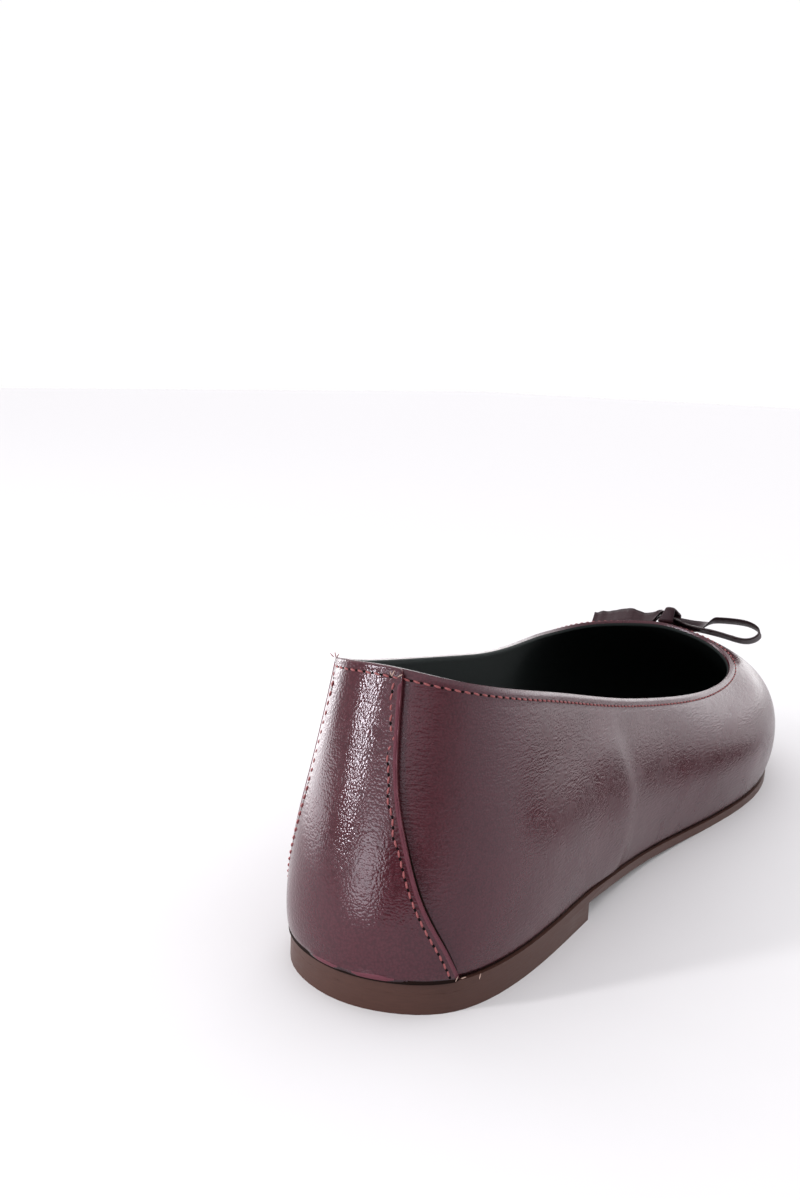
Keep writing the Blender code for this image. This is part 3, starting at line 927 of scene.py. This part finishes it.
@dataclass
class Seams:
    """All the rows of stitches that show."""

    finishes: Finishes
    upper: Upper
    counter: BackCounter
    topline_gap: float = 1.9 * MM
    counter_gaps: Pair = (1.75 * MM, 2.6 * MM)
    cut_short: int = 4
    slope_reach: float = 3 * MM

    def build(self) -> None:
        """Runs a row below the topline and one inside each side edge of the counter."""
        both = outer_tree(self.upper.piece, self.counter.piece)
        panel = outer_tree(self.counter.piece)
        line, out = self.inside_edge(self.upper.topline, both, self.topline_gap, None)
        StitchRow("topline_seam", self.finishes, line, out, closed=True).build()
        middle = float(np.mean([edge[:, 0].mean() for edge in self.counter.sides.values()]))
        for side, edge in self.counter.sides.items():
            gap = self.counter_gaps[side is Side.MEDIAL]
            line, out = self.inside_edge(edge, panel, gap, middle)
            name = f"counter_seam_{side.name.lower()}"
            StitchRow(name, self.finishes, line[: -self.cut_short], out[: -self.cut_short], False).build()
            self.loose_ends(side, line[0], edge[-1], out[0])

    def loose_ends(self, side: Side, top: Rows, foot: Rows, out: Rows) -> None:
        """Leaves loose thread ends at a counter seam's top, and at the outer side's foot.

        Args:
            side: the seam's side.
            top: the seam's upper end.
            foot: the counter's lower corner.
            out: the outward direction at the seam's top.
        """
        turn = side.value
        tops = [
            ((0.0, 0.0, 2.6), (0.3 * turn, 0.1, 1.0)),
            ((1.2 * turn, 0.6, 2.2), (0.9 * turn, 0.3, 0.6)),
            ((-0.5 * turn, 0.0, 2.4), (-0.6 * turn, 0.0, 1.0)),
        ]
        feet = [
            ((-0.3, -0.3, 0.2), (0.3, 0.2, 1.0)),
            ((0.8, 0.4, 0.5), (1.0, 0.8, 0.5)),
            ((3.2, 3.0, 0.4), (0.1, 0.1, 1.0)),
        ]
        tails = [(top + np.array(shift) * MM, heading) for shift, heading in tops]
        if side is Side.LATERAL:
            tails += [(foot + np.array(shift) * MM, heading) for shift, heading in feet]
        at = np.array([place for place, _ in tails])
        along = np.array([np.array(heading) / np.linalg.norm(heading) for _, heading in tails])
        outward = np.tile(out, (len(tails), 1))
        row = StitchRow("loose_end", self.finishes, at, outward, False, pitch=1.7 * MM, thread=0.22 * MM)
        material = self.finishes.frayed if side is Side.LATERAL else self.finishes.thread
        name = f"loose_ends_{side.name.lower()}"
        row.spread(row.master_stitch(), at, along, outward, name, material, lift=0.15 * MM)

    def inside_edge(self, edge: Rows, tree: BVHTree, gap: float, middle: float | None) -> tuple[Rows, Rows]:
        """A line on the leather at the seam's distance from an edge.

        Args:
            edge: the edge's points.
            tree: the leather's outer faces.
            gap: the seam's distance from the edge.
            middle: the panel's middle across the shoe, or nothing where the seam lies below a closed edge.

        Returns:
            The line's points and the outward directions there.
        """
        closed = middle is None
        at, along = evenly_spaced(edge, LINE_STEP, closed)
        points, normals = [], []
        for place, direction in zip(at, along):
            goal = Vector((0, 0, -1)) if closed else Vector((middle - place[0], 0, 0))
            _, normal, _, _ = tree.find_nearest(Vector(place))
            turn = 1 if Vector(direction).cross(normal).dot(goal) > 0 else -1
            # The leather's slope is read a little way in from the cut edge, where it's even.
            for _ in range(2):
                inward = Vector(direction).cross(normal).normalized() * turn
                _, normal, _, _ = tree.find_nearest(Vector(place) + inward * self.slope_reach)
            inward = Vector(direction).cross(normal).normalized() * turn
            target = Vector(place) + inward * gap
            hit, face_normal, _, _ = tree.ray_cast(target + normal * 4 * MM, -normal, 8 * MM)
            if hit is None:
                hit, face_normal, _, _ = tree.find_nearest(target)
            points.append(tuple(hit))
            normals.append(tuple(face_normal))
        return smooth_line(np.array(points), closed, 6), smooth_line(np.array(normals), closed, 6)


@dataclass
class PaintedShadowLine:
    """A thin dark tube of painted shadow, laid in the step beside the counter's lower side edges."""

    finishes: Finishes
    upper: Upper
    counter: BackCounter
    radius: float = 0.22 * MM
    ahead: float = 0.20 * MM
    start: float = 0.42

    def build(self) -> None:
        """Lays a thin thread-like line in each step, from below the edge's middle to the foot."""
        wall = outer_tree(self.upper.piece)
        for side, edge in self.counter.sides.items():
            at, _ = evenly_spaced(edge, LINE_STEP, closed=False)
            toeward = Vector((side.value, 1, 0)).normalized()
            low = at[int(len(at) * self.start) :]
            path = [wall.find_nearest(Vector(place) + toeward * self.ahead)[0] for place in low]
            self.lay(smooth_line(np.array([tuple(p) for p in path]), False, 4), side)

    def lay(self, path: Rows, side: Side) -> None:
        """Turns one path, from the top down, into a tube that thins out at its upper end."""
        make_active()
        bpy.ops.curve.primitive_nurbs_path_add()
        line = bpy.context.object
        line.name = f"cement_line_{side.name.lower()}"
        curve = line.data
        curve.splines.clear()
        spline = curve.splines.new("POLY")
        spline.points.add(len(path) - 1)
        grown = smooth_step(np.arange(len(path)) / len(path), -0.05, 0.4)
        for point, place, size in zip(spline.points, path, grown):
            point.co = (*place, 1)
            point.radius = size
        curve.bevel_depth = self.radius
        curve.bevel_resolution = 1
        curve.use_fill_caps = True
        make_active(line)
        bpy.ops.object.convert(target="MESH")
        line = bpy.context.object
        bpy.ops.object.shade_smooth()
        # Painted shadow: the tube's near-black material stands in for the step's shade.
        hand_over(line, material=self.finishes.groove)


@dataclass
class Bow:
    """The ribbon bow: an open loop on the outer side, a flattened one on the inner side, and a knot."""

    finishes: Finishes
    levels: int = 2
    seat: Triple = (0.0, 0.1598, 0.0451)
    forward: Triple = (-0.067, 0.924, -0.377)
    strip_thickness: float = 1.2 * MM
    thinned: float = 0.2 * MM
    half_span: float = 27.7 * MM
    knot_half: float = 3.0 * MM
    inner_turn: float = 58.0
    inner_drop: float = 0.6 * MM
    inner_draw: float = 1.2 * MM
    inner_pressed: float = 0.92
    inner_widths: tuple[Pair, ...] = (
        (0.0, 0.56), (0.25, 0.70), (0.5, 0.74), (0.75, 0.80), (0.9, 0.78), (1.0, 0.66)
    )
    knot_drop: float = 1.8 * MM
    outer_twist: float = 55.0
    outer_lift: float = 2.6 * MM
    outer_draw: float = 2.4 * MM
    outer_gather: float = 0.38
    slice_width: float = 0.8 * MM
    tip_length: float = 2.5 * MM
    beside_knot: tuple[Pair, Pair] = ((0.5 * MM, 3 * MM), (8 * MM, 15 * MM))
    knot_gather: float = 0.42
    knot_lean: float = 1.2 * MM
    knot_foot: float = 0.25

    def build(self) -> None:
        """Copies the CAD strip and knot, rounds their edges and shapes both loops."""
        for node, name, firm, shape, edge in (
            ("bow_loops", "bow_ribbon", 0.7, self.shape_loops, self.finishes.dark_edge),
            ("bow_knot", "bow_knot_band", 0.1, self.gather_knot, self.finishes.ribbon),
        ):
            piece = smooth_copy(node, name, self.levels, (firm, firm), 40)
            shape(piece.data)
            dress(piece, self.finishes.ribbon, self.finishes.ribbon, edge)
            hand_over(piece)

    def shape_loops(self, mesh: Mesh) -> None:
        """Presses the inner loop flat and stands it up, and lifts and draws out the outer one."""
        across = np.array((1.0, 0.0, 0.0))
        forward = np.array(self.forward) / np.linalg.norm(self.forward)
        out = np.cross(across, forward)
        out /= np.linalg.norm(out)
        basis = np.stack([across, forward, out])
        points = points_of(mesh) - points_of(mesh, "normal") * self.thinned
        local = (points - np.array(self.seat)) @ basis.T
        # The strip's bounds along the bow, slice by slice; the tips take the last full slice's.
        reach = self.half_span - self.tip_length
        held = np.clip(local[:, 0], -reach, reach) / self.slice_width
        bins = np.round(held).astype(int)
        keys = np.unique(bins)
        back, front, floor, roof = (
            np.interp(held, keys, [pick(local[bins == b, axis]) for b in keys])
            for axis, pick in ((1, np.min), (1, np.max), (2, np.min), (2, np.max))
        )
        thick = self.strip_thickness - 2 * self.thinned
        opening = np.maximum(roof - floor - 2 * thick, 0)
        above = np.clip((local[:, 2] - floor - thick) / np.maximum(opening, 0.1 * MM), 0, 1)
        inner = smooth_step(-local[:, 0], self.knot_half * 0.4, self.knot_half * 1.5)
        outer = smooth_step(local[:, 0], self.knot_half * 0.8, self.half_span)
        from_knot = np.abs(local[:, 0])
        near, far = (smooth_step(from_knot, *band) for band in self.beside_knot)
        by_knot = near * (1 - far)
        height = local[:, 2] - floor - opening * above * inner * self.inner_pressed
        # The outer loop's upper strand is gathered and hangs from its front edge beside the knot.
        hanging = by_knot * above * (local[:, 0] > 0)
        width = front - back
        swung = (width - (local[:, 1] - back)) * (1 - self.outer_gather * hanging)
        twist = math.radians(self.outer_twist) * hanging
        depth = width - swung * np.cos(twist)
        height = height - swung * np.sin(twist)
        # The inner loop is pressed flat, narrowed and stood up on its back edge.
        share = np.clip((-local[:, 0] - self.knot_half) / (self.half_span - self.knot_half), 0, 1)
        slim = np.interp(share, *zip(*self.inner_widths))
        depth = depth * (1 - inner * (1 - slim))
        turn = math.radians(self.inner_turn) * inner
        local[:, 1] = back + depth * np.cos(turn) - height * np.sin(turn)
        local[:, 2] = floor + depth * np.sin(turn) + height * np.cos(turn)
        local[:, 2] += outer * self.outer_lift - inner * self.inner_drop - by_knot * inner * self.knot_drop
        local[:, 0] += outer * self.outer_draw + share * self.inner_draw
        set_points(mesh, local @ basis + np.array(self.seat))

    def gather_knot(self, mesh: Mesh) -> None:
        """Narrows the knot towards its top, where the ribbon is gathered."""
        points = points_of(mesh)
        height = points[:, 2]
        share = smooth_step((height - height.min()) / (height.max() - height.min()), self.knot_foot, 1.0)
        points[:, 0] *= 1.0 - self.knot_gather * share
        points[:, 0] += share * self.knot_lean
        set_points(mesh, points)


@dataclass
class Sole:
    """Outsole and heel block, which show as one sanded band, and the insole."""

    finishes: Finishes
    edge_radius: float = 0.35 * MM
    join_gap: float = 0.34 * MM
    join_band: float = 1.5 * MM
    merged: float = 0.04 * MM
    flat_degrees: float = 0.6
    sharp_degrees: float = 50.0
    smooth_degrees: float = 35.0

    def build(self) -> None:
        """Joins the heel block to the outsole, softens the edges and dresses the pieces."""
        sole = copy_of_node("outsole", "sole_unit")
        heel = copy_of_node("heel", "heel_block")
        points = points_of(heel.data)
        top = points[:, 2] > points[:, 2].max() - self.join_band
        points[top, 2] += self.join_gap
        set_points(heel.data, points)
        modify(sole, "heel cemented on", "BOOLEAN", operation="UNION", solver="EXACT", object=heel)
        bpy.data.objects.remove(heel)
        bpy.ops.object.mode_set(mode="EDIT")
        bpy.ops.mesh.select_all(action="SELECT")
        bpy.ops.mesh.remove_doubles(threshold=self.merged)
        bpy.ops.mesh.dissolve_limited(angle_limit=math.radians(self.flat_degrees))
        bpy.ops.object.mode_set(mode="OBJECT")
        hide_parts("outsole", "heel")
        self.soften(sole)
        hand_over(sole, self.finishes.sole)
        insole = copy_of_node("insole", "insole_sock")
        self.soften(insole)
        hand_over(insole, self.finishes.lining)

    def soften(self, piece: Object) -> None:
        """Rounds the sheet's sharp edges a little, as sanding does."""
        edges = {"limit_method": "ANGLE", "angle_limit": math.radians(self.sharp_degrees)}
        modify(piece, "sanded edge", "BEVEL", width=self.edge_radius, segments=2, **edges)
        bpy.ops.object.shade_smooth_by_angle(angle=math.radians(self.smooth_degrees))
        modify(piece, "even shading", "WEIGHTED_NORMAL", weight=100, keep_sharp=True)


@dataclass(frozen=True)
class Softbox:
    """One flat lamp, placed by its bearing from the heel.

    The bearing is 0 towards the toe and 90 towards the outer side. Width and height are in metres, and the
    glow is the lamp's brightness against a white wall's 1.
    """

    name: str
    bearing: float
    elevation: float
    distance: float
    width: float
    height: float
    glow: float
    only_mirrored: bool = False
    heel: Triple = (0.0, -0.03, 0.04)

    def hang(self) -> None:
        """Puts the lamp in the scene, facing the heel and out of the camera's own sight."""
        turn, rise = math.radians(self.bearing), math.radians(self.elevation)
        away = Vector((math.sin(turn) * math.cos(rise), math.cos(turn) * math.cos(rise), math.sin(rise)))
        place = Vector(self.heel) + away * self.distance
        light = bpy.data.lights.new(self.name, "AREA")
        light.shape = "RECTANGLE"
        light.size, light.size_y = self.width, self.height
        light.energy = self.glow * math.pi * self.width * self.height
        lamp = bpy.data.objects.new(self.name, light)
        lamp.matrix_world = Matrix.Translation(place) @ (-away).to_track_quat("-Z", "Y").to_matrix().to_4x4()
        lamp.visible_camera = False
        lamp.visible_diffuse = not self.only_mirrored
        bpy.context.scene.collection.objects.link(lamp)


@dataclass
class Studio:
    """White board, pale room, soft lamps and the camera at the photograph's place."""

    finishes: Finishes
    stands: Triple = (0.116394, -0.213379, 0.126630)
    yaw: float = 0.533
    pitch: float = 0.198
    roll: float = -0.043
    lens_mm: float = 35.0
    board_front: float = -0.125
    room: tuple[Pair, ...] = (
        (0.0, 0.50), (0.06, 0.30), (0.12, 0.19), (0.30, 0.21), (0.55, 0.44), (0.80, 0.74), (0.92, 1.1)
    )
    room_strength: float = 2.85
    ceiling: float = 0.42
    ceiling_band: Pair = (0.25, 0.8)
    dim_bearing: float = 166.0
    dim_level: float = 0.02
    dim_across: Pair = (0.76, 0.88)
    dim_below: Pair = (-0.04, 0.02)
    backdrop: Colour = (0.354, 0.352, 0.352, 1.0)
    lamps: tuple[Softbox, ...] = (
        Softbox("left reflector", -80, 7, 0.42, 0.28, 0.20, 2.8),
        Softbox("left sheen", -80, 5, 0.41, 0.09, 0.26, 5.5, only_mirrored=True),
        Softbox("low left glow", -85, -11, 0.16, 0.20, 0.045, 3.0, only_mirrored=True),
        Softbox("rear strip", -142, 18, 1.2, 0.085, 0.85, 42.0),
        Softbox("low rear glow", -165, -8.5, 1.0, 0.40, 0.23, 5.5),
    )
    flag_reach: tuple[Pair, Pair] = ((0.07, 0.165), (0.088, 0.205))
    bounce_reach: tuple[Pair, Pair] = ((0.10, 0.60), (0.22, 0.85))

    def build(self) -> None:
        """Sets the board, the room, the lamps and the camera."""
        self.board()
        self.card("black_flag", self.flag_reach, self.finishes.flag)
        self.card("bounce_card", self.bounce_reach, self.finishes.bounce)
        self.pale_room()
        for lamp in self.lamps:
            lamp.hang()
        self.camera()

    def board(self) -> None:
        """Lays a wide white board whose front edge lies just outside the picture."""
        make_active()
        bpy.ops.mesh.primitive_plane_add(size=6, location=(0, self.board_front + 3, 0))
        board = bpy.context.object
        board.name = "floor_board"
        board.data.materials.append(self.finishes.floor)

    def card(self, name: str, reach: tuple[Pair, Pair], material: Material) -> None:
        """Lays a card outside the picture, which only reflections see.

        The black one gives the side its dark patch, and the white one lifts the forepart. The reach holds
        a card's left and right edges, and then its near and far ones.
        """
        (left, right), (near, far) = reach
        make_active()
        bpy.ops.mesh.primitive_plane_add(size=1, location=((left + right) / 2, (near + far) / 2, 0.0005))
        card = bpy.context.object
        card.name = name
        card.scale = (right - left, far - near, 1)
        bpy.ops.object.transform_apply(scale=True)
        card.visible_camera = card.visible_shadow = card.visible_diffuse = False
        card.data.materials.append(material)

    def pale_room(self) -> None:
        """Lights the shoe from a bright wall beyond the toe, with a dim corner behind the camera."""
        room = bpy.data.worlds.new("pale room")
        room.use_nodes = True
        tree = room.node_tree
        back = tree.nodes["Background"]
        facing = add_node(tree, "TexCoord").outputs["Generated"]
        parts = add_node(tree, "SeparateXYZ", {"Vector": facing}).outputs
        walls = add_node(tree, "ValToRGB", {"Fac": ramp(tree, parts["Y"], (-1.0, 1.0), (0.0, 1.0))})
        bands = walls.color_ramp
        while len(bands.elements) < len(self.room):
            bands.elements.new(0.5)
        for element, (position, value) in zip(bands.elements, self.room):
            element.position = position
            element.color = grey(value)
        overhead = ramp(tree, parts["Z"], self.ceiling_band, (0.0, 1.0), soft=True)
        lit = blend(tree, overhead, walls.outputs["Color"], grey(self.ceiling))
        turn = math.radians(self.dim_bearing)
        faced = {0: facing, 1: (math.sin(turn), math.cos(turn), 0.0)}
        towards = add_node(tree, "VectorMath", faced, operation="DOT_PRODUCT").outputs["Value"]
        corner = ramp(tree, towards, self.dim_across, (0.0, 1.0), soft=True)
        low = ramp(tree, parts["Z"], self.dim_below, (1.0, 0.0), soft=True)
        dim = add_node(tree, "Math", {0: corner, 1: low}, operation="MULTIPLY").outputs["Value"]
        shaded = blend(tree, dim, lit, grey(self.dim_level))
        seen = add_node(tree, "LightPath").outputs["Is Camera Ray"]
        tree.links.new(blend(tree, seen, shaded, self.backdrop), back.inputs["Color"])
        back.inputs["Strength"].default_value = self.room_strength
        bpy.context.scene.world = room

    def camera(self) -> None:
        """Places the camera where the photograph was taken from."""
        level = math.cos(self.pitch)
        forward = Vector((-math.sin(self.yaw) * level, math.cos(self.yaw) * level, -math.sin(self.pitch)))
        right = Vector((math.cos(self.yaw), math.sin(self.yaw), 0))
        down = forward.cross(right)
        across = right * math.cos(self.roll) + down * math.sin(self.roll)
        below = down * math.cos(self.roll) - right * math.sin(self.roll)
        lens = bpy.data.cameras.new("camera")
        lens.lens = self.lens_mm
        lens.sensor_width = 36
        lens.clip_start = 0.01
        holder = bpy.data.objects.new("camera", lens)
        turn = Matrix((across, -below, -forward)).transposed()
        holder.matrix_world = Matrix.Translation(self.stands) @ turn.to_4x4()
        bpy.context.scene.collection.objects.link(holder)
        bpy.context.scene.camera = holder


def main() -> None:
    """Builds and dresses the shoe, then sets the studio."""
    logging.basicConfig(level=logging.INFO, format="%(name)s: %(message)s")
    finishes = Finishes()
    upper = Upper(finishes)
    upper.build()
    counter = BackCounter(finishes, upper)
    counter.build()
    Seams(finishes, upper, counter).build()
    upper.finish()
    counter.finish()
    PaintedShadowLine(finishes, upper, counter).build()
    Bow(finishes).build()
    Sole(finishes).build()
    Studio(finishes).build()
    bpy.context.scene.view_settings.view_transform = "Standard"


if __name__ == "__main__":
    main()
